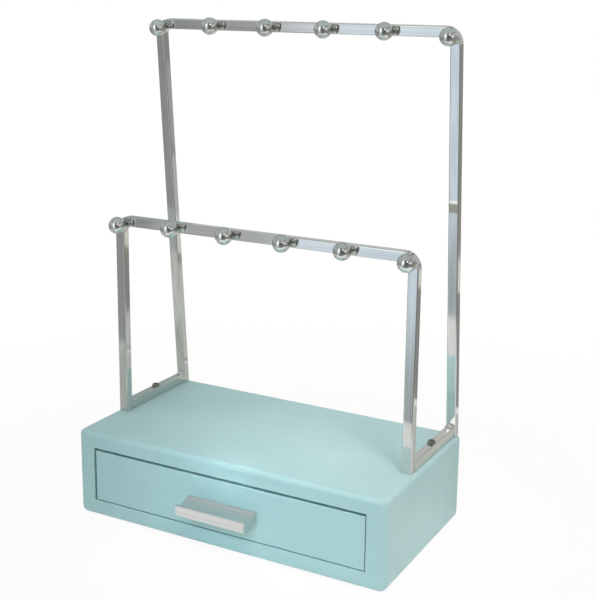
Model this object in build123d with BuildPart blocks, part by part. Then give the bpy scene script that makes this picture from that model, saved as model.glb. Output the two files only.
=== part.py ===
from build123d import *
from math import cos, radians, sin, sqrt, tan
import os

os.makedirs("parts", exist_ok=True)

# Jewelry stand with a drawer: a lacquered box, an inset drawer with an aluminium pull,
# and two inverted-U frames of chromed bar with ball hooks for necklaces.
# Millimetres, +Z up, front towards -Y. The origin is the middle of the box's underside.

# ---- Box ----
case_width = 241.0
case_depth = 130.0
case_height = 63.2
top_board = 11.4
bottom_board = 12.5
side_board = 13.7
back_board = 9.0
case_round = 5.0          # rounding of the upright and lower edges
case_top_round = 3.4
rim_round = 0.5           # broken edge around the drawer opening and the drawer front

# ---- Drawer ----
reveal = 1.2              # mean shadow gap around the drawer front
front_shift = 0.6         # the drawer front sits this far right of the middle of its opening
front_drop = 0.5          # and this far below it
front_board = 12.0
drawer_board = 8.0        # drawer sides and back
drawer_panel = 3.0        # drawer bottom
drawer_side_height = 32.0
panel_lift = 5.0          # underside of the bottom panel above the underside of the sides
groove_depth = 4.0
groove_gap = 0.1          # clearance around the bottom panel in its grooves
slide_gap = 0.4           # drawer underside to box floor
side_gap = 0.6            # drawer side to box side
rear_gap = 4.0            # drawer back to box back when shut

# ---- Pull ----
pull_length = 53.5
pull_depth = 16.5
pull_height = 8.1         # underside to the top of the lip
pull_drop = 2.2           # middle of the lip below the middle of the drawer front
lip_thickness = 2.2
lip_rise = 1.6            # lip above the finger groove behind it
lip_round = 0.8
flange_thickness = 1.5    # top of the flange that lies on the drawer front
flange_rise = 1.0         # flange above the lip
groove_sag = 1.5          # depth of the finger groove's arc
pull_under_round = 2.6    # softer lower front edge, where the finger goes
pull_edge = 0.4
pull_screw_spacing = 32.0
pull_screw_lift = 3.4     # screws above the underside of the pull
pull_screw_radius = 2.0
pull_screw_bite = 8.0
pull_head_radius = 3.5
pull_head_height = 2.2
pull_head_round = 1.0

# ---- Chromed bar, frames and rails ----
bar_width = 7.2
bar_depth = 6.1
bar_edge = 0.7
bend_radius = 11.4        # outer radius of the frames' upper corners
front_frame_setback = 45.1    # front face of the front frame behind the box front
front_frame_inset = 2.9       # outer side of the frame inside the box side
front_frame_height = 148.3
rear_frame_margin = 1.6       # rear legs' backs inside the box back, at the box top
rear_frame_inset = 1.9
rear_leg_length = 286.8
rear_lean = 4.67          # degrees, forwards

# ---- Ball hooks ----
balls_per_frame = 6
ball_radius = 6.1
ball_seat_radius = 2.0    # flat where the ball is welded to the bar

# ---- Foot screws ----
screw_radius = 1.5
screw_bite = 9.0          # depth of the shank in the box top
screw_head_radius = 2.8
screw_head_height = 2.0
screw_head_round = 1.2
recess_width = 0.8        # cross recess in the screw heads
recess_length = 3.0
recess_depth = 0.8
hole_gap = 0.1            # clearance around a screw in its hole

# ---- Derived places ----
opening_half_width = case_width / 2 - side_board
opening_bottom = bottom_board
opening_top = case_height - top_board
opening_height = opening_top - opening_bottom
front_y = -case_depth / 2
back_inner_y = case_depth / 2 - back_board
front_board_back_y = front_y + front_board

opening_mid_z = (opening_bottom + opening_top) / 2
drawer_front_width = 2 * (opening_half_width - reveal)
drawer_front_height = opening_height - 2 * reveal
drawer_front_z = opening_mid_z - front_drop
drawer_half_width = opening_half_width - side_gap
drawer_inner_half_width = drawer_half_width - drawer_board
drawer_floor_z = opening_bottom + slide_gap
drawer_back_y = back_inner_y - rear_gap
drawer_side_length = drawer_back_y - front_board_back_y
panel_z = drawer_floor_z + panel_lift
groove_height = drawer_panel + 2 * groove_gap
groove_z = panel_z - groove_gap

pull_top = drawer_front_z - pull_drop + pull_height / 2
pull_base = pull_top - pull_height
flange_top = pull_top + flange_rise
flange_front_y = front_y - flange_thickness
pull_front_y = front_y - pull_depth
lip_back_y = pull_front_y + lip_thickness
pull_screw_z = pull_base + pull_screw_lift
pull_screw_spots = [(front_shift + side * pull_screw_spacing / 2, pull_screw_z) for side in (-1, 1)]

front_frame_y = front_y + front_frame_setback
front_half_width = case_width / 2 - front_frame_inset
rear_frame_y = case_depth / 2 - rear_frame_margin - bar_depth
rear_half_width = case_width / 2 - rear_frame_inset
bend_centre_radius = bend_radius - bar_width / 2
corner_inset = bend_centre_radius * (1 - cos(radians(45)))
ball_stand_off = sqrt(ball_radius**2 - ball_seat_radius**2)
lean = radians(rear_lean)
up_rear = (0, -sin(lean), cos(lean))

rail_x = front_half_width - bar_depth / 2
rail_start_y = front_frame_y + bar_depth
rail_mid_y = (rail_start_y + rear_frame_y) / 2
rail_top_z = case_height + bar_width
foot_screw_spots = [(x, rail_mid_y) for x in (-rail_x, rail_x)]

from_below = (Align.CENTER, Align.CENTER, Align.MIN)
from_above = (Align.CENTER, Align.CENTER, Align.MAX)

# Each frame's own plane lies on its front face: x across, y up along the legs, z forwards.
front_plane = Plane(origin=(0, front_frame_y, case_height), x_dir=(1, 0, 0), z_dir=(0, -1, 0))
rear_plane = Plane(origin=(0, rear_frame_y, case_height), x_dir=(1, 0, 0), z_dir=(0, -cos(lean), -sin(lean)))


# ---- Box boards, cut from one rounded block so that their edges run through ----
with BuildPart() as case_block:
    Box(case_width, case_depth, case_height, align=from_below)
    upper_edges = case_block.edges().group_by(Axis.Z)[-1]
    fillet(case_block.edges() - upper_edges, case_round)
    fillet(case_block.edges().group_by(Axis.Z)[-1], case_top_round)
    with BuildSketch(Plane.XZ.offset(-front_y)):
        with Locations((0, opening_mid_z)):
            Rectangle(2 * opening_half_width, opening_height)
    extrude(amount=front_y - back_inner_y, mode=Mode.SUBTRACT)
    rim = case_block.faces().sort_by(Axis.Y)[0].inner_wires()[0].edges()
    fillet(rim, rim_round)

with BuildPart() as case_top:
    with BuildSketch(Plane.XY.offset(opening_top)):
        Rectangle(case_width, case_depth)
    extrude(amount=top_board)
    add(case_block.part, mode=Mode.INTERSECT)
    with Locations(*[(x, y, case_height) for x, y in foot_screw_spots]):
        Cylinder(screw_radius + hole_gap, screw_bite + hole_gap, align=from_above, mode=Mode.SUBTRACT)
case_top.part.label = "case_top"
export_step(case_top.part, "parts/case_top.step")

with BuildPart() as case_bottom:
    with BuildSketch():
        Rectangle(case_width, case_depth)
    extrude(amount=bottom_board)
    add(case_block.part, mode=Mode.INTERSECT)
case_bottom.part.label = "case_bottom"
export_step(case_bottom.part, "parts/case_bottom.step")

for side_name, side in (("left", -1), ("right", 1)):
    with BuildPart() as case_side:
        with BuildSketch(Plane.XY.offset(opening_bottom)):
            with Locations((side * (case_width - side_board) / 2, 0)):
                Rectangle(side_board, case_depth)
        extrude(amount=opening_height)
        add(case_block.part, mode=Mode.INTERSECT)
    case_side.part.label = f"case_{side_name}_side"
    export_step(case_side.part, f"parts/case_{side_name}_side.step")

with BuildPart() as case_back:
    with BuildSketch(Plane.XY.offset(opening_bottom)):
        with Locations((0, back_inner_y + back_board / 2)):
            Rectangle(2 * opening_half_width, back_board)
    extrude(amount=opening_height)
case_back.part.label = "case_back"
export_step(case_back.part, "parts/case_back.step")

# ---- Drawer ----
with BuildPart() as drawer_front:
    with BuildSketch(Plane.XZ.offset(-front_y)):
        with Locations((front_shift, drawer_front_z)):
            Rectangle(drawer_front_width, drawer_front_height)
    extrude(amount=-front_board)
    fillet(drawer_front.faces().sort_by(Axis.Y)[0].edges(), rim_round)
    with BuildSketch(Plane.XY.offset(groove_z)):
        with Locations((0, front_board_back_y - groove_depth / 2)):
            Rectangle(2 * (drawer_inner_half_width + groove_depth), groove_depth)
    extrude(amount=groove_height, mode=Mode.SUBTRACT)
    with BuildSketch(Plane.XZ.offset(-front_y)):
        with Locations(*pull_screw_spots):
            Circle(pull_screw_radius + hole_gap)
    extrude(amount=-front_board, mode=Mode.SUBTRACT)
drawer_front.part.label = "drawer_front"
export_step(drawer_front.part, "parts/drawer_front.step")

for side_name, side in (("left", -1), ("right", 1)):
    with BuildPart() as drawer_side:
        with BuildSketch(Plane.XY.offset(drawer_floor_z)):
            with Locations((side * (drawer_half_width - drawer_board / 2), front_board_back_y)):
                Rectangle(drawer_board, drawer_side_length, align=(Align.CENTER, Align.MIN))
        extrude(amount=drawer_side_height)
        fillet(drawer_side.edges().filter_by(Axis.Y).group_by(Axis.Z)[-1], rim_round)
        with BuildSketch(Plane.XY.offset(groove_z)):
            with Locations((side * (drawer_inner_half_width + groove_depth / 2), front_board_back_y)):
                Rectangle(groove_depth, drawer_side_length, align=(Align.CENTER, Align.MIN))
        extrude(amount=groove_height, mode=Mode.SUBTRACT)
    drawer_side.part.label = f"drawer_{side_name}_side"
    export_step(drawer_side.part, f"parts/drawer_{side_name}_side.step")

with BuildPart() as drawer_back:
    with BuildSketch(Plane.XY.offset(drawer_floor_z)):
        with Locations((0, drawer_back_y)):
            Rectangle(2 * drawer_inner_half_width, drawer_board, align=(Align.CENTER, Align.MAX))
    extrude(amount=drawer_side_height)
    fillet(drawer_back.edges().filter_by(Axis.X).group_by(Axis.Z)[-1], rim_round)
    with BuildSketch(Plane.XY.offset(groove_z)):
        with Locations((0, drawer_back_y - drawer_board)):
            Rectangle(2 * drawer_inner_half_width, groove_depth, align=(Align.CENTER, Align.MIN))
    extrude(amount=groove_height, mode=Mode.SUBTRACT)
drawer_back.part.label = "drawer_back"
export_step(drawer_back.part, "parts/drawer_back.step")

with BuildPart() as drawer_bottom:
    panel_reach = groove_depth - groove_gap
    panel_front_y = front_board_back_y - panel_reach
    panel_rear_y = drawer_back_y - drawer_board + panel_reach
    with BuildSketch(Plane.XY.offset(panel_z)):
        with Locations((0, panel_front_y)):
            Rectangle(2 * (drawer_inner_half_width + panel_reach), panel_rear_y - panel_front_y,
                      align=(Align.CENTER, Align.MIN))
    extrude(amount=drawer_panel)
drawer_bottom.part.label = "drawer_bottom"
export_step(drawer_bottom.part, "parts/drawer_bottom.step")

with BuildPart() as drawer_pull:
    groove_start = (lip_back_y, pull_top - lip_rise)
    groove_end = (flange_front_y, flange_top)
    groove_middle = (
        (groove_start[0] + groove_end[0]) / 2,
        (groove_start[1] + groove_end[1]) / 2 - groove_sag,
    )
    with BuildSketch(Plane.YZ.offset(front_shift - pull_length / 2)) as pull_profile:
        with BuildLine():
            Polyline(
                groove_end,
                (front_y, flange_top),
                (front_y, pull_base),
                (pull_front_y, pull_base),
                (pull_front_y, pull_top),
                (lip_back_y, pull_top),
                groove_start,
            )
            ThreePointArc(groove_start, groove_middle, groove_end)
        make_face()
        lip_corners = [v for v in pull_profile.vertices() if v.Y == pull_top]
        under_corner = pull_profile.vertices().group_by(Axis.X)[0].sort_by(Axis.Y)[0]
        fillet(under_corner, pull_under_round)
        fillet(lip_corners, lip_round)
    extrude(amount=pull_length)
    for end in (drawer_pull.faces().sort_by(Axis.X)[0], drawer_pull.faces().sort_by(Axis.X)[-1]):
        chamfer(end.edges().group_by(Axis.Y)[0], pull_edge)
    with BuildSketch(Plane.XZ.offset(-front_y)):
        with Locations(*pull_screw_spots):
            Circle(pull_screw_radius + hole_gap)
    extrude(amount=pull_screw_bite + hole_gap, mode=Mode.SUBTRACT)
drawer_pull.part.label = "drawer_pull"
export_step(drawer_pull.part, "parts/drawer_pull.step")

with BuildPart() as pull_screws:
    with BuildSketch(Plane.XZ.offset(-front_board_back_y)):
        with Locations(*pull_screw_spots):
            Circle(pull_screw_radius)
    extrude(amount=front_board + pull_screw_bite)
    with BuildSketch(Plane.XZ.offset(-front_board_back_y)):
        with Locations(*pull_screw_spots):
            Circle(pull_head_radius)
    extrude(amount=-pull_head_height)
    fillet(pull_screws.edges().filter_by(GeomType.CIRCLE).group_by(Axis.Y)[-1], pull_head_round)
    with BuildSketch(Plane.XZ.offset(-front_board_back_y - pull_head_height)):
        with Locations(*pull_screw_spots):
            Rectangle(recess_width, recess_length)
            Rectangle(recess_length, recess_width)
    extrude(amount=recess_depth, mode=Mode.SUBTRACT)
pull_screws.part.label = "pull_screws"
export_step(pull_screws.part, "parts/pull_screws.step")


# ---- Frames: one bar swept up a leg, across the top and down the other leg ----
def bar_path(half_width, height, foot_y):
    """Corner points of a frame's centre line in its own plane."""
    x = half_width - bar_width / 2
    top = height - bar_width / 2
    depth = -bar_depth / 2
    return [(-x, foot_y, depth), (-x, top, depth), (x, top, depth), (x, foot_y, depth)]


front_points = [front_plane.from_local_coords(p) for p in bar_path(front_half_width, front_frame_height, 0)]
with BuildPart() as front_frame:
    with BuildLine():
        FilletPolyline(*front_points, radius=bend_centre_radius)
    with BuildSketch(Plane(origin=front_points[0], x_dir=(1, 0, 0), z_dir=(0, 0, 1))):
        RectangleRounded(bar_width, bar_depth, bar_edge)
    sweep()
front_frame.part.label = "front_frame"
export_step(front_frame.part, "parts/front_frame.step")

# The rear frame leans, so its legs start below the box top and are cut level with it.
rear_start = -2 * bar_depth * tan(lean)
rear_points = [rear_plane.from_local_coords(p) for p in bar_path(rear_half_width, rear_leg_length, rear_start)]
with BuildPart() as rear_frame:
    with BuildLine():
        FilletPolyline(*rear_points, radius=bend_centre_radius)
    with BuildSketch(Plane(origin=rear_points[0], x_dir=(1, 0, 0), z_dir=up_rear)):
        RectangleRounded(bar_width, bar_depth, bar_edge)
    sweep()
    split(bisect_by=Plane.XY.offset(case_height), keep=Keep.TOP)
rear_frame.part.label = "rear_frame"
export_step(rear_frame.part, "parts/rear_frame.step")

# ---- Foot rails: the same bar on edge, from the front leg's back to the rear leg's leaning face ----
for side_name, side in (("left", -1), ("right", 1)):
    with BuildPart() as rail:
        with BuildSketch(Plane.XZ.offset(-rail_start_y)):
            with Locations((side * rail_x, case_height)):
                RectangleRounded(bar_depth, bar_width, bar_edge, align=(Align.CENTER, Align.MIN))
        extrude(amount=rail_start_y - rear_frame_y)
        split(bisect_by=rear_plane, keep=Keep.TOP)
        with Locations((side * rail_x, rail_mid_y, rail_top_z)):
            Cylinder(screw_radius + hole_gap, bar_width, align=from_above, mode=Mode.SUBTRACT)
    rail.part.label = f"{side_name}_rail"
    export_step(rail.part, f"parts/{side_name}_rail.step")

with BuildPart() as foot_screws:
    with Locations(*[(x, y, rail_top_z) for x, y in foot_screw_spots]):
        Cylinder(screw_radius, bar_width + screw_bite, align=from_above)
        Cylinder(screw_head_radius, screw_head_height, align=from_below)
    fillet(foot_screws.edges().filter_by(GeomType.CIRCLE).group_by(Axis.Z)[-1], screw_head_round)
    with BuildSketch(Plane.XY.offset(rail_top_z + screw_head_height)):
        with Locations(*foot_screw_spots):
            Rectangle(recess_width, recess_length)
            Rectangle(recess_length, recess_width)
    extrude(amount=-recess_depth, mode=Mode.SUBTRACT)
foot_screws.part.label = "foot_screws"
export_step(foot_screws.part, "parts/foot_screws.step")


# ---- Ball hooks: evenly spaced along the top bar, the outer two on the middle of the corner bends ----
def ball_spots(half_width, height):
    """Ball centres in a frame's own plane, left to right."""
    centre_line_x = half_width - bar_width / 2
    centre_line_y = height - bar_width / 2
    outer_x = centre_line_x - corner_inset
    pitch = 2 * outer_x / (balls_per_frame - 1)
    spots = []
    for n in range(balls_per_frame):
        is_outer = n in (0, balls_per_frame - 1)
        spots.append((n * pitch - outer_x, centre_line_y - (corner_inset if is_outer else 0), ball_stand_off))
    return spots


hook_rows = (
    ("front", front_plane, ball_spots(front_half_width, front_frame_height)),
    ("rear", rear_plane, ball_spots(rear_half_width, rear_leg_length)),
)
for row_name, plane, spots in hook_rows:
    for number, spot in enumerate(spots, start=1):
        with BuildPart() as ball:
            with Locations(plane.from_local_coords(spot)):
                Sphere(ball_radius)
            split(bisect_by=plane, keep=Keep.TOP)
        ball.part.label = f"{row_name}_ball_{number}"
        export_step(ball.part, f"parts/{row_name}_ball_{number}.step")
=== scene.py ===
from math import cos, pi, radians, sin

import bpy
from mathutils import Matrix, Vector


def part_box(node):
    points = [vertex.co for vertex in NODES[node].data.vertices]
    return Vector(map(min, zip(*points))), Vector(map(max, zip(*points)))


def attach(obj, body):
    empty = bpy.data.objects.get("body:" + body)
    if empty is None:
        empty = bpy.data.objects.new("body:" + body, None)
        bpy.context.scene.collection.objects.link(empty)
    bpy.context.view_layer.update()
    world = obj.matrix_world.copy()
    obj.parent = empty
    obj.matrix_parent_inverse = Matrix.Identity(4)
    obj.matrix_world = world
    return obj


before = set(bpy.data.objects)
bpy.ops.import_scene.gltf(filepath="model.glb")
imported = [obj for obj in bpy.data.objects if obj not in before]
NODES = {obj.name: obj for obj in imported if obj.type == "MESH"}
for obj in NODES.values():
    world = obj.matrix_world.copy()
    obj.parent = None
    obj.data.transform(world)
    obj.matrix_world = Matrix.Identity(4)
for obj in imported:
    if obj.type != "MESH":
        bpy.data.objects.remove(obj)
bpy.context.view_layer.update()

MM = 0.001
WHITE = (1, 1, 1, 1)


# ---------------------------------------------------------------- small tools
def linear(hex_colour):
    """An sRGB colour such as "#A9D2D6" as the linear values that shaders work in."""
    channels = [int(hex_colour[i:i + 2], 16) / 255 for i in (1, 3, 5)]
    return (*[c / 12.92 if c <= 0.04045 else ((c + 0.055) / 1.055) ** 2.4 for c in channels], 1.0)


def scale_for(size_mm):
    """The scale that makes a noise pattern's marks about size_mm across."""
    return 1 / (size_mm * MM)


def new_material(name):
    """An empty node material and its node tree."""
    material = bpy.data.materials.new(name)
    material.use_nodes = True
    material.node_tree.nodes.clear()
    return material, material.node_tree


def add(tree, kind, inputs=None, stops=(), **settings):
    """Adds a node with its settings and links.

    inputs maps a socket's name or number to a value or to another node's output.
    stops are the positions and colours of a Color Ramp."""
    node = tree.nodes.new(kind)
    for key, value in settings.items():
        setattr(node, key, value)
    for key, value in (inputs or {}).items():
        if isinstance(value, bpy.types.NodeSocket):
            tree.links.new(value, node.inputs[key])
        else:
            node.inputs[key].default_value = value
    if stops:
        elements = node.color_ramp.elements
        elements.remove(elements[0])
        elements[0].position, elements[0].color = stops[0]
        for position, colour in stops[1:]:
            elements.new(position).color = colour
    return node


def dress(material, names):
    """Gives CAD nodes a finished material in place of their plain one."""
    for name in names:
        mesh = NODES[name].data
        mesh.materials.clear()
        mesh.materials.append(material)


# ---------------------------------------------------------------- materials
def sprayed_lacquer():
    """Pale turquoise lacquer sprayed on MDF: even colour, a soft sheen and a faint orange peel."""
    cloud_mm, peel_mm = 71.4, 2.38
    material, tree = new_material("sprayed_turquoise_lacquer")
    place = add(tree, "ShaderNodeTexCoord").outputs["Object"]
    cloud = add(tree, "ShaderNodeTexNoise", {
        "Vector": place, "Scale": scale_for(cloud_mm), "Detail": 3.0}).outputs["Fac"]
    colour = add(tree, "ShaderNodeValToRGB", {"Fac": cloud}, [
        (0.35, linear("#A2C9C8")), (0.65, linear("#A8CFCD"))])
    rub = add(tree, "ShaderNodeMapRange", {"Value": cloud, "To Min": 0.30, "To Max": 0.40})
    peel = add(tree, "ShaderNodeTexNoise", {"Vector": place, "Scale": scale_for(peel_mm), "Detail": 1.0})
    bump = add(tree, "ShaderNodeBump", {
        "Height": peel.outputs["Fac"], "Strength": 0.10, "Distance": 0.2 * MM})
    shader = add(tree, "ShaderNodeBsdfPrincipled", {
        "Base Color": colour.outputs["Color"], "Roughness": rub.outputs["Result"], "IOR": 1.5,
        "Normal": bump.outputs["Normal"]})
    add(tree, "ShaderNodeOutputMaterial", {"Surface": shader.outputs["BSDF"]})
    return material


def chrome_plate(name, streak_mm, top_streak_mm=None, top_height=0.0):
    """Bright chrome on steel bar: a mirror with faint polishing streaks that run along the bar.

    streak_mm is a streak's size along X, Y and Z, and top_streak_mm its size above top_height, on a
    frame's top bar. Real streaks are hair-fine; these are as broad as they need to be to show."""
    material, tree = new_material(name)
    place = add(tree, "ShaderNodeTexCoord").outputs["Object"]
    along = add(tree, "ShaderNodeVectorMath", {
        0: place, 1: [scale_for(size) for size in streak_mm]}, operation="MULTIPLY").outputs[0]
    if top_streak_mm:
        height = add(tree, "ShaderNodeSeparateXYZ", {0: place}).outputs["Z"]
        on_top = add(tree, "ShaderNodeMath", {0: height, 1: top_height}, operation="GREATER_THAN")
        top_along = add(tree, "ShaderNodeVectorMath", {
            0: place, 1: [scale_for(size) for size in top_streak_mm]}, operation="MULTIPLY")
        # sockets 4 and 5 are the two vectors that are mixed
        along = add(tree, "ShaderNodeMix", {
            "Factor": on_top.outputs[0], 4: along, 5: top_along.outputs[0]}, data_type="VECTOR").outputs[1]
    streaks = add(tree, "ShaderNodeTexNoise", {"Vector": along, "Scale": 1.0, "Detail": 2.0}).outputs["Fac"]
    rough = add(tree, "ShaderNodeMapRange", {"Value": streaks, "To Min": 0.04, "To Max": 0.10})
    colour = add(tree, "ShaderNodeValToRGB", {"Fac": streaks}, [
        (0.35, linear("#CDCFCC")), (0.65, linear("#D9DBD7"))])
    shader = add(tree, "ShaderNodeBsdfPrincipled", {
        "Base Color": colour.outputs["Color"], "Metallic": 1.0, "Roughness": rough.outputs["Result"]})
    add(tree, "ShaderNodeOutputMaterial", {"Surface": shader.outputs["BSDF"]})
    return material


def satin_aluminium():
    """Satin anodised aluminium: lengthwise brushing that blurs reflections along the pull.

    The anodised skin scatters a part of the light, so the groove never goes dark. Real brush marks
    are hair-fine; these are as broad as they need to be to show."""
    mark_length_mm, mark_width_mm = 71.4, 0.91
    mark_scale = (scale_for(mark_length_mm), scale_for(mark_width_mm), scale_for(mark_width_mm))
    material, tree = new_material("satin_anodised_aluminium")
    place = add(tree, "ShaderNodeTexCoord").outputs["Object"]
    along = add(tree, "ShaderNodeMapping", {"Vector": place, "Scale": mark_scale})
    brushing = add(tree, "ShaderNodeTexNoise", {
        "Vector": along.outputs["Vector"], "Scale": 1.0, "Detail": 3.0}).outputs["Fac"]
    rough = add(tree, "ShaderNodeMapRange", {"Value": brushing, "To Min": 0.24, "To Max": 0.36})
    colour = add(tree, "ShaderNodeValToRGB", {"Fac": brushing}, [
        (0.3, linear("#C9CAC8")), (0.7, linear("#DADBD8"))])
    bump = add(tree, "ShaderNodeBump", {"Height": brushing, "Strength": 0.08, "Distance": 0.1 * MM})
    shader = add(tree, "ShaderNodeBsdfPrincipled", {
        "Base Color": colour.outputs["Color"], "Metallic": 0.9, "Roughness": rough.outputs["Result"],
        "Normal": bump.outputs["Normal"]})
    add(tree, "ShaderNodeOutputMaterial", {"Surface": shader.outputs["BSDF"]})
    return material


def black_oxide_steel():
    """Black-oxide screw steel: dark, a little oily, with paler rubbed specks, coarse enough to show."""
    speck_mm = 1.11
    material, tree = new_material("black_oxide_steel")
    place = add(tree, "ShaderNodeTexCoord").outputs["Object"]
    specks = add(tree, "ShaderNodeTexNoise", {
        "Vector": place, "Scale": scale_for(speck_mm), "Detail": 3.0})
    colour = add(tree, "ShaderNodeValToRGB", {"Fac": specks.outputs["Fac"]}, [
        (0.40, linear("#7F7D77")), (0.70, linear("#A3A199"))])
    shader = add(tree, "ShaderNodeBsdfPrincipled", {
        "Base Color": colour.outputs["Color"], "Metallic": 1.0, "Roughness": 0.38})
    add(tree, "ShaderNodeOutputMaterial", {"Surface": shader.outputs["BSDF"]})
    return material


def drawer_coat():
    """One thin matt turquoise coat on the drawer's MDF boards: flatter and drier than the outside."""
    cloud_mm, fibre_mm = 45.5, 2.0
    material, tree = new_material("thin_matt_turquoise_coat")
    place = add(tree, "ShaderNodeTexCoord").outputs["Object"]
    cloud = add(tree, "ShaderNodeTexNoise", {"Vector": place, "Scale": scale_for(cloud_mm), "Detail": 2.0})
    colour = add(tree, "ShaderNodeValToRGB", {"Fac": cloud.outputs["Fac"]}, [
        (0.35, linear("#9CC2C2")), (0.65, linear("#A5CAC9"))])
    fibre = add(tree, "ShaderNodeTexNoise", {
        "Vector": place, "Scale": scale_for(fibre_mm), "Detail": 4.0, "Roughness": 0.6})
    bump = add(tree, "ShaderNodeBump", {
        "Height": fibre.outputs["Fac"], "Strength": 0.2, "Distance": 0.2 * MM})
    shader = add(tree, "ShaderNodeBsdfPrincipled", {
        "Base Color": colour.outputs["Color"], "Roughness": 0.6, "Normal": bump.outputs["Normal"]})
    add(tree, "ShaderNodeOutputMaterial", {"Surface": shader.outputs["BSDF"]})
    return material


def hardboard():
    """Brown hardboard: pressed fibre, slightly shiny on its smooth side."""
    fibre_mm = 2.63
    material, tree = new_material("pressed_hardboard")
    place = add(tree, "ShaderNodeTexCoord").outputs["Object"]
    fibre = add(tree, "ShaderNodeTexNoise", {
        "Vector": place, "Scale": scale_for(fibre_mm), "Detail": 6.0, "Roughness": 0.7}).outputs["Fac"]
    colour = add(tree, "ShaderNodeValToRGB", {"Fac": fibre}, [
        (0.35, linear("#5E4229")), (0.65, linear("#8A6844"))])
    bump = add(tree, "ShaderNodeBump", {"Height": fibre, "Strength": 0.1, "Distance": 0.2 * MM})
    shader = add(tree, "ShaderNodeBsdfPrincipled", {
        "Base Color": colour.outputs["Color"], "Roughness": 0.5, "Normal": bump.outputs["Normal"]})
    add(tree, "ShaderNodeOutputMaterial", {"Surface": shader.outputs["BSDF"]})
    return material


# a polishing streak's size in millimetres along X, Y and Z, by the way that its bar runs
STREAK_LENGTH, STREAK_WIDTH = 200.0, 2.22
UPRIGHT = (STREAK_WIDTH, STREAK_WIDTH, STREAK_LENGTH)
SIDEWAYS = (STREAK_LENGTH, STREAK_WIDTH, STREAK_WIDTH)
INWARD = (STREAK_WIDTH, STREAK_LENGTH, STREAK_WIDTH)
# the balls have no streaks but a faint cloud in their polish
BALL_CLOUD = (8.33, 8.33, 8.33)
# the heights above which a frame's streaks run sideways, along its top bar
FRONT_TOP, REAR_TOP = 200 * MM, 338 * MM

BALLS = [name for name in NODES if "_ball_" in name]
dress(sprayed_lacquer(), ["case_top", "case_bottom", "case_left_side", "case_right_side", "case_back",
                          "drawer_front"])
dress(drawer_coat(), ["drawer_left_side", "drawer_right_side", "drawer_back"])
dress(hardboard(), ["drawer_bottom"])
dress(chrome_plate("chrome_front_bar", UPRIGHT, SIDEWAYS, FRONT_TOP), ["front_frame"])
dress(chrome_plate("chrome_rear_bar", UPRIGHT, SIDEWAYS, REAR_TOP), ["rear_frame"])
dress(chrome_plate("chrome_side_bars", INWARD), ["left_rail", "right_rail"])
dress(chrome_plate("chrome_balls", BALL_CLOUD), BALLS)
dress(satin_aluminium(), ["drawer_pull"])
dress(black_oxide_steel(), ["foot_screws", "pull_screws"])


# ---------------------------------------------------------------- weld beads
def weld_metal():
    """Weld metal under the plating: chrome again, but lumpy, paler and duller than the drawn bar."""
    lump_mm = 1.43
    material, tree = new_material("chromed_weld")
    place = add(tree, "ShaderNodeTexCoord").outputs["Object"]
    lumps = add(tree, "ShaderNodeTexNoise", {
        "Vector": place, "Scale": scale_for(lump_mm), "Detail": 3.0}).outputs["Fac"]
    colour = add(tree, "ShaderNodeValToRGB", {"Fac": lumps}, [
        (0.35, linear("#BDBFBC")), (0.65, linear("#DADCD8"))])
    bump = add(tree, "ShaderNodeBump", {"Height": lumps, "Strength": 0.2, "Distance": 0.3 * MM})
    shader = add(tree, "ShaderNodeBsdfPrincipled", {
        "Base Color": colour.outputs["Color"], "Metallic": 0.75, "Roughness": 0.28,
        "Normal": bump.outputs["Normal"]})
    add(tree, "ShaderNodeOutputMaterial", {"Surface": shader.outputs["BSDF"]})
    return material


def bead_tree(material):
    """Geometry Nodes: a small round bead on every point, each a little different in size."""
    tree = bpy.data.node_groups.new("weld_beads", "GeometryNodeTree")
    tree.interface.new_socket("Points", in_out="INPUT", socket_type="NodeSocketGeometry")
    tree.interface.new_socket("Bead Radius", in_out="INPUT", socket_type="NodeSocketFloat")
    tree.interface.new_socket("Unevenness", in_out="INPUT", socket_type="NodeSocketFloat")
    tree.interface.new_socket("Beads", in_out="OUTPUT", socket_type="NodeSocketGeometry")
    given = add(tree, "NodeGroupInput").outputs
    bead = add(tree, "GeometryNodeMeshIcoSphere", {"Radius": given["Bead Radius"], "Subdivisions": 4})
    smallest = add(tree, "ShaderNodeMath", {0: 1.0, 1: given["Unevenness"]}, operation="SUBTRACT")
    # sockets 2 and 3 are the least and the greatest number that is drawn
    size = add(tree, "FunctionNodeRandomValue", {2: smallest.outputs[0], 3: 1.0, "Seed": 7},
               data_type="FLOAT")
    placed = add(tree, "GeometryNodeInstanceOnPoints", {
        "Points": given["Points"], "Instance": bead.outputs["Mesh"], "Scale": size.outputs[1]})
    real = add(tree, "GeometryNodeRealizeInstances", {"Geometry": placed.outputs["Instances"]})
    smooth = add(tree, "GeometryNodeSetShadeSmooth", {"Geometry": real.outputs["Geometry"]})
    coated = add(tree, "GeometryNodeSetMaterial", {
        "Geometry": smooth.outputs["Geometry"], "Material": material})
    add(tree, "NodeGroupOutput", {"Beads": coated.outputs["Geometry"]})
    return tree


def weld(name, points, radius, material):
    """Weld beads of one radius on these points, as one mesh that goes with the case."""
    unevenness = 0.12
    source = bpy.data.objects.new(name + "_points", bpy.data.meshes.new(name + "_points"))
    source.data.from_pydata(points, [], [])
    bpy.context.scene.collection.objects.link(source)
    tree = bead_tree(material)
    modifier = source.modifiers.new("beads", "NODES")
    modifier.node_group = tree
    sockets = {item.name: item.identifier for item in tree.interface.items_tree
               if item.in_out == "INPUT"}
    modifier[sockets["Bead Radius"]] = radius
    modifier[sockets["Unevenness"]] = unevenness
    bpy.context.view_layer.update()
    seen = source.evaluated_get(bpy.context.evaluated_depsgraph_get())
    mesh = bpy.data.meshes.new_from_object(seen)
    bpy.data.objects.remove(source)
    beads = bpy.data.objects.new(name, mesh)
    bpy.context.scene.collection.objects.link(beads)
    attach(beads, "case")


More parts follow.
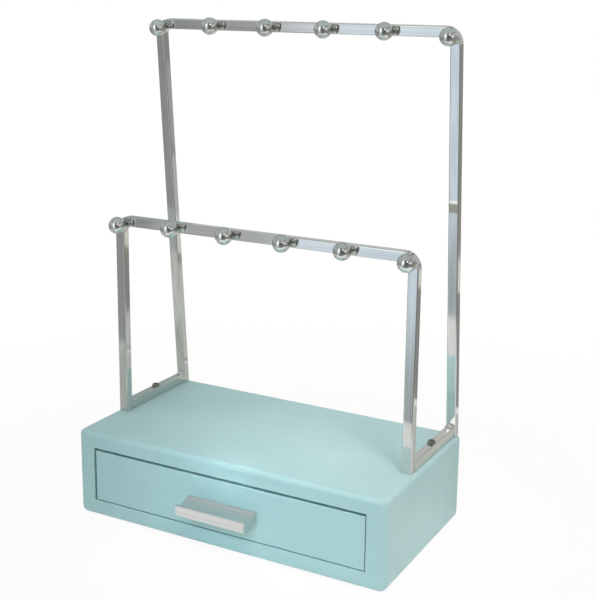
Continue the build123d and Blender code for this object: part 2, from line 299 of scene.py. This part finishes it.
def rear_seam(low, high):
    """Points for a humped seam across a rail's top, in the corner with the rear leg."""
    steps = 6
    reach = 0.72 * (high[0] - low[0]) / 2
    from_leg, crown, drop = 1.3 * MM, 0.4 * MM, 1.6 * MM
    middle = (low[0] + high[0]) / 2
    points = []
    for i in range(-steps, steps + 1):
        across = i / steps
        points.append((middle + reach * across, high[1] - from_leg, high[2] + crown - drop * across ** 2))
    return points


def front_tacks(low, high, outer):
    """Points for two tacks behind the front leg on a rail's outer face, and two on its inner face.

    outer is -1 where the outer face is the left one and 1 where it is the right one."""
    behind_outer, behind_inner, depth = 1.6 * MM, 5.0 * MM, 0.25 * MM
    lifts = (1.5 * MM, 6.2 * MM)
    points = []
    for face, x in ((-1, low[0] + depth), (1, high[0] - depth)):
        behind = behind_outer if face == outer else behind_inner
        points += [(x, low[1] + behind, low[2] + lift) for lift in lifts]
    return points


SEAM_RADIUS, TACK_RADIUS = 1.8 * MM, 1.1 * MM
weld_coat = weld_metal()
for side_name, side in (("left", -1), ("right", 1)):
    low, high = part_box(f"{side_name}_rail")
    weld(f"{side_name}_rear_weld", rear_seam(low, high), SEAM_RADIUS, weld_coat)
    weld(f"{side_name}_front_tacks", front_tacks(low, high, side), TACK_RADIUS, weld_coat)


# ---------------------------------------------------------------- floor, world and lamps
FLOOR_REACH = 3.0
# the stand's shadow shows in full up to the first distance from its middle, and not beyond the second
SHADOW_NEAR, SHADOW_FAR = 0.15, 0.55


def plain_mesh(name, corners, faces):
    """A mesh of the studio, which isn't part of the stand."""
    mesh = bpy.data.meshes.new(name)
    mesh.from_pydata(corners, [], faces)
    thing = bpy.data.objects.new(name, mesh)
    bpy.context.scene.collection.objects.link(thing)
    return thing


def level_square(reach, height):
    """The corners of a level square round the middle, and its one face."""
    corners = [(-reach, -reach, height), (reach, -reach, height), (reach, reach, height),
               (-reach, reach, height)]
    return corners, [(0, 1, 2, 3)]


def seen_rays(tree):
    """1 for the eye, for reflections and through glass, 0 for the light that falls on things."""
    rays = add(tree, "ShaderNodeLightPath").outputs
    seen = add(tree, "ShaderNodeMath", {0: rays["Is Camera Ray"], 1: rays["Is Glossy Ray"]},
               operation="ADD")
    seen = add(tree, "ShaderNodeMath", {0: seen.outputs[0], 1: rays["Is Transmission Ray"]},
               operation="ADD", use_clamp=True)
    return seen.outputs[0]


def white_floor():
    """A pale floor that reads as white to the eye and to metal, and still takes the stand's shadow.

    Near the stand a tenth of what is seen is lit floor, which fades into pure white further out."""
    thing = plain_mesh("floor", *level_square(FLOOR_REACH, 0.0))
    material, tree = new_material("white_floor")
    lit = add(tree, "ShaderNodeBsdfDiffuse", {"Color": (0.95, 0.95, 0.95, 1)})
    white = add(tree, "ShaderNodeEmission", {"Color": WHITE, "Strength": 1.0})
    place = add(tree, "ShaderNodeTexCoord").outputs["Object"]
    away = add(tree, "ShaderNodeVectorMath", {0: place}, operation="LENGTH")
    fade = add(tree, "ShaderNodeMapRange", {
        "Value": away.outputs["Value"], "From Min": SHADOW_NEAR, "From Max": SHADOW_FAR,
        "To Min": 0.91, "To Max": 1.0}, interpolation_type="SMOOTHSTEP")
    share = add(tree, "ShaderNodeMath", {0: seen_rays(tree), 1: fade.outputs["Result"]},
                operation="MULTIPLY")
    mix = add(tree, "ShaderNodeMixShader", {0: share.outputs[0], 1: lit.outputs[0], 2: white.outputs[0]})
    add(tree, "ShaderNodeOutputMaterial", {"Surface": mix.outputs[0]})
    thing.data.materials.append(material)


def studio_world():
    """Soft light from all round; white behind the stand for the eye and for metal."""
    world = bpy.data.worlds.new("studio")
    world.use_nodes = True
    bpy.context.scene.world = world
    tree = world.node_tree
    tree.nodes.clear()
    soft = add(tree, "ShaderNodeBackground", {"Color": (1.0, 0.980, 0.990, 1), "Strength": 0.70})
    white = add(tree, "ShaderNodeBackground", {"Color": WHITE, "Strength": 1.0})
    mix = add(tree, "ShaderNodeMixShader", {0: seen_rays(tree), 1: soft.outputs[0], 2: white.outputs[0]})
    add(tree, "ShaderNodeOutputWorld", {"Surface": mix.outputs[0]})


def soft_lamp(name, place, target, size, watts, colour, spread):
    """A square soft box at place, turned to target; metal reflects the cards instead of it.

    spread is the beam's angle in degrees."""
    data = bpy.data.lights.new(name, "AREA")
    data.size = size
    data.energy = watts
    data.color = colour
    data.spread = radians(spread)
    lamp = bpy.data.objects.new(name, data)
    lamp.location = place
    lamp.rotation_euler = (Vector(target) - Vector(place)).to_track_quat("-Z", "Y").to_euler()
    lamp.visible_glossy = False
    bpy.context.scene.collection.objects.link(lamp)


white_floor()
studio_world()
soft_lamp("overhead_soft_box", (0.08, -0.17, 0.60), (0.055, -0.01, 0.063),
          size=0.22, watts=0.051, colour=(1.0, 0.78, 0.75), spread=32)
soft_lamp("right_soft_box", (0.34, -0.25, 0.50), (0.050, -0.005, 0.063),
          size=0.16, watts=0.068, colour=(1.0, 0.82, 0.78), spread=34)
soft_lamp("front_soft_box", (0.07, -0.55, 0.42), (0.028, -0.065, 0.058),
          size=0.16, watts=0.030, colour=(0.12, 0.65, 1.0), spread=30)
# lifts the drawer front above the pull, which the pull would otherwise keep from the floor's light
soft_lamp("pull_fill", (0.03, -0.40, 0.36), (0.002, -0.065, 0.042),
          size=0.03, watts=0.0029, colour=(0.90, 0.97, 1.0), spread=11)


# ---------------------------------------------------------------- cards that only chrome reflects
WALL_RADIUS = 1.9
TENT_RADIUS, TENT_HEIGHT, TENT_SIDES = 2.0, 1.6, 72
CEILING_REACH, CEILING_HEIGHT = 1.3, 1.58
# the tent's table lies half a millimetre above the floor, and the cards on it one millimetre
TABLE_LIFT, CARD_LIFT = 0.5 * MM, 1.0 * MM
# between these distances from the stand's middle the table's near colours turn into its far ones
NEAR_TABLE, FAR_TABLE = 0.34, 0.60
# corners of the white sheet that the stand is on
SHEET = [(-0.42, -0.332), (0.42, -0.184), (0.42, 0.27), (-0.42, 0.25)]


def card(name, corners, faces, colour, strength=1.0):
    """A studio card that only reflections show: grey where chrome should read dark, bright for its glints."""
    thing = plain_mesh(name, corners, faces)
    thing.visible_camera = False
    thing.visible_diffuse = False
    thing.visible_shadow = False
    thing.visible_transmission = False
    material, tree = new_material(name)
    glow = add(tree, "ShaderNodeEmission", {"Color": (*colour, 1), "Strength": strength})
    add(tree, "ShaderNodeOutputMaterial", {"Surface": glow.outputs[0]})
    thing.data.materials.append(material)
    return tree, glow


def on_wall(bearing, radius, height):
    """A point on a round wall. Bearings are in degrees: 0 is in front of the stand, 90 to its right."""
    return (radius * sin(radians(bearing)), -radius * cos(radians(bearing)), height)


def wall_card(name, bearings, heights, colour, strength=1.0, radius=WALL_RADIUS):
    """An upright curved card between two bearings and two heights, in facets of about 5 degrees."""
    turn = bearings[1] - bearings[0]
    facets = max(2, round(turn / 5))
    corners = []
    for i in range(facets + 1):
        bearing = bearings[0] + turn * i / facets
        corners += [on_wall(bearing, radius, height) for height in heights]
    faces = [(2 * i, 2 * i + 2, 2 * i + 3, 2 * i + 1) for i in range(facets)]
    card(name, corners, faces, colour, strength)


def floor_card(name, colour, corners):
    """A flat card on the floor or the table."""
    card(name, [(x, y, CARD_LIFT) for x, y in corners], [tuple(range(len(corners)))], colour)


def sheet_edge(far):
    """Where the line from the middle of the stand to far leaves the white sheet."""
    for start, end in zip(SHEET, SHEET[1:] + SHEET[:1]):
        side_x, side_y = start[0] - end[0], start[1] - end[1]
        cross = far[0] * side_y - far[1] * side_x
        if cross:
            along_line = (start[0] * side_y - start[1] * side_x) / cross
            along_side = (far[0] * start[1] - far[1] * start[0]) / cross
            if along_line > 0 and 0 <= along_side <= 1:
                return (far[0] * along_line, far[1] * along_line, far[2])
    return far


def tent_shape():
    """The tent's corners and faces: a table beyond the sheet, a round wall and a ceiling."""
    corners, faces = [], []
    for i in range(TENT_SIDES):
        bearing = 360 * i / TENT_SIDES
        far = on_wall(bearing, TENT_RADIUS, TABLE_LIFT)
        corners += [sheet_edge(far), far, on_wall(bearing, TENT_RADIUS, TENT_HEIGHT)]
        a, b = 3 * i, 3 * ((i + 1) % TENT_SIDES)
        faces += [(a, a + 1, b + 1, b), (a + 1, a + 2, b + 2, b + 1)]
    faces.append(tuple(3 * i + 2 for i in range(TENT_SIDES)))
    return corners, faces


def bearing_colours(tree, place, colours):
    """A colour that changes with the bearing of place, through (bearing in degrees, colour) pairs."""
    axes = add(tree, "ShaderNodeSeparateXYZ", {0: place}).outputs
    front = add(tree, "ShaderNodeMath", {0: axes["Y"], 1: -1.0}, operation="MULTIPLY")
    angle = add(tree, "ShaderNodeMath", {0: axes["X"], 1: front.outputs[0]}, operation="ARCTAN2")
    turn = add(tree, "ShaderNodeMapRange", {"Value": angle.outputs[0], "From Min": -pi, "From Max": pi})
    stops = [(0.5 + bearing / 360, (*colour, 1)) for bearing, colour in colours]
    return add(tree, "ShaderNodeValToRGB", {"Fac": turn.outputs["Result"]}, stops).outputs["Color"]


def grey_tent():
    """Grey room round the white sheet, paler where a window lights the table in front."""
    tree, glow = card("grey_tent", *tent_shape(), (1, 1, 1))
    place = add(tree, "ShaderNodeTexCoord").outputs["Object"]
    grey, warm, dark, pale = (0.36, 0.365, 0.37), (0.33, 0.32, 0.30), (0.22, 0.22, 0.22), (0.46, 0.46, 0.47)
    left = [(-180, warm), (-72, grey), (-37.08, grey), (-36, pale), (-31.5, pale)]
    right = [(9, dark), (57.6, dark), (72, warm), (180, warm)]
    near_front = [(-29.52, (0.48, 0.50, 0.52)), (-22.5, (0.50, 0.55, 0.59)), (1.08, (0.50, 0.54, 0.58))]
    far_front = [(-30.78, (0.76, 0.78, 0.81)), (-26.64, (0.92, 0.99, 1.10)), (-22.5, (0.92, 1.00, 1.12)),
                 (-18.72, (0.83, 0.93, 1.06)), (-5.4, (0.76, 0.86, 0.98)), (0, grey)]
    near = bearing_colours(tree, place, left + near_front + right)
    far = bearing_colours(tree, place, left + far_front + right)
    away = add(tree, "ShaderNodeVectorMath", {0: place}, operation="LENGTH")
    further = add(tree, "ShaderNodeMapRange", {
        "Value": away.outputs["Value"], "From Min": NEAR_TABLE, "From Max": FAR_TABLE})
    # sockets 6 and 7 are the two colours that are mixed
    mix = add(tree, "ShaderNodeMix", {"Factor": further.outputs["Result"], 6: near, 7: far},
              data_type="RGBA")
    tree.links.new(mix.outputs[2], glow.inputs["Color"])


grey_tent()
# darker and paler stretches of the sheet and the table, for the lower halves of the bars and balls
# painted shade: these two stretches stand in for the sheet's shade beside the stand, as the chrome reflects
# it, darkest next to the stand
floor_card("sheet_left_dim", (0.50, 0.52, 0.50),
           [(-0.335, -0.317), (-0.16, -0.286), (-0.16, 0.256), (-0.245, 0.254), (-0.245, -0.10)])
floor_card("sheet_left_edge", (0.66, 0.67, 0.65),
           [(-0.42, -0.332), (-0.335, -0.317), (-0.245, -0.10), (-0.245, 0.254), (-0.42, 0.25)])
floor_card("sheet_left_corner", (0.50, 0.53, 0.54),
           [(-0.47, -0.46), (-0.39, -0.33), (-0.62, -0.30), (-0.62, -0.46)])
floor_card("table_left_pale", (0.55, 0.55, 0.56),
           [(-0.72, -0.92), (-0.45, -0.92), (-0.45, -0.80), (-0.66, -0.80)])
floor_card("sheet_rear_dim", (0.62, 0.63, 0.60),
           [(-0.16, 0.07), (0.42, 0.07), (0.42, 0.26), (-0.16, 0.25)])
floor_card("sheet_rear_edge", (1.0, 1.0, 1.0),
           [(0.18, 0.260), (0.30, 0.263), (0.30, 0.275), (0.18, 0.272)])
floor_card("table_rear_pale", (0.68, 0.67, 0.64),
           [(-0.20, 0.26), (0.15, 0.27), (0.29, 0.66), (0.29, 0.80), (-0.20, 0.80)])
floor_card("table_rear_bright", (0.84, 0.84, 0.79),
           [(0.29, 0.66), (0.46, 0.66), (0.60, 0.90), (0.45, 0.90)])
floor_card("table_rear_far", (0.60, 0.61, 0.59),
           [(0.45, 0.90), (0.60, 0.90), (1.05, 1.50), (0.80, 1.50)])
floor_card("table_rear_left", (1.0, 1.0, 1.0),
           [(-0.80, 0.50), (-0.21, 0.50), (-0.21, 1.40), (-0.80, 1.40)])
# the ceiling and the walls, for the tops of the bars and balls and the bars' upright faces
card("ceiling_card", *level_square(CEILING_REACH, CEILING_HEIGHT), (0.54, 0.60, 0.61))
wall_card("window_card", (-23, -5), (0.02, 0.33), (0.95, 0.98, 1.0), 1.5)
wall_card("window_upper_card", (-23, -5), (0.33, 1.30), (1, 1, 1), 2.0)
wall_card("left_wall_card", (-128, -38), (0.30, 1.57), (0.55, 0.56, 0.56))
wall_card("right_wall_card", (50, 128), (0.72, 1.57), (0.55, 0.56, 0.56))
wall_card("camera_side_card", (24, 37), (0.0, 0.55), (0.08, 0.08, 0.09), radius=1.1)
wall_card("lamp_card", (30, 44), (1.0, 1.5), (1, 1, 1), 2.5)
wall_card("side_card", (52, 90), (0.25, 0.70), (1, 1, 1), 1.1)
wall_card("rear_right_wall_foot", (144, 153), (0.0, 0.2), (0.47, 0.47, 0.47))
wall_card("rear_left_wall_card", (-175, -144.5), (0.2, 1.0), (0.98, 1, 0.98), 0.63)
wall_card("rear_left_wall_shade", (-144.5, -130), (0.2, 1.0), (0.85, 1, 0.98), 0.45)
wall_card("rear_right_wall_card", (130, 185), (0.3, 1.57), (1, 1, 1), 0.60)


# ---------------------------------------------------------------- camera
def photo_camera():
    """The photograph's viewpoint, worked out from the box, drawer and bar edges that it shows."""
    yaw, pitch, roll = radians(28.28), radians(12.63), radians(0.71)
    place = Vector((382.46, -667.38, 369.69)) * MM
    focal_px, centre_x_px, centre_y_px = 1145.72, 301.1, 248.3
    width_px, height_px = 596, 600
    data = bpy.data.cameras.new("photo_camera")
    data.sensor_width = 36.0
    data.lens = focal_px * data.sensor_width / height_px
    data.shift_x = (width_px / 2 - centre_x_px) / height_px
    data.shift_y = (centre_y_px - height_px / 2) / height_px
    camera = bpy.data.objects.new("photo_camera", data)
    camera.matrix_world = (Matrix.Translation(place)
                           @ Matrix.Rotation(yaw, 4, "Z")
                           @ Matrix.Rotation(pi / 2 - pitch, 4, "X")
                           @ Matrix.Rotation(roll, 4, "Z"))
    bpy.context.scene.collection.objects.link(camera)
    bpy.context.scene.camera = camera


photo_camera()
bpy.context.scene.view_settings.view_transform = "Standard"
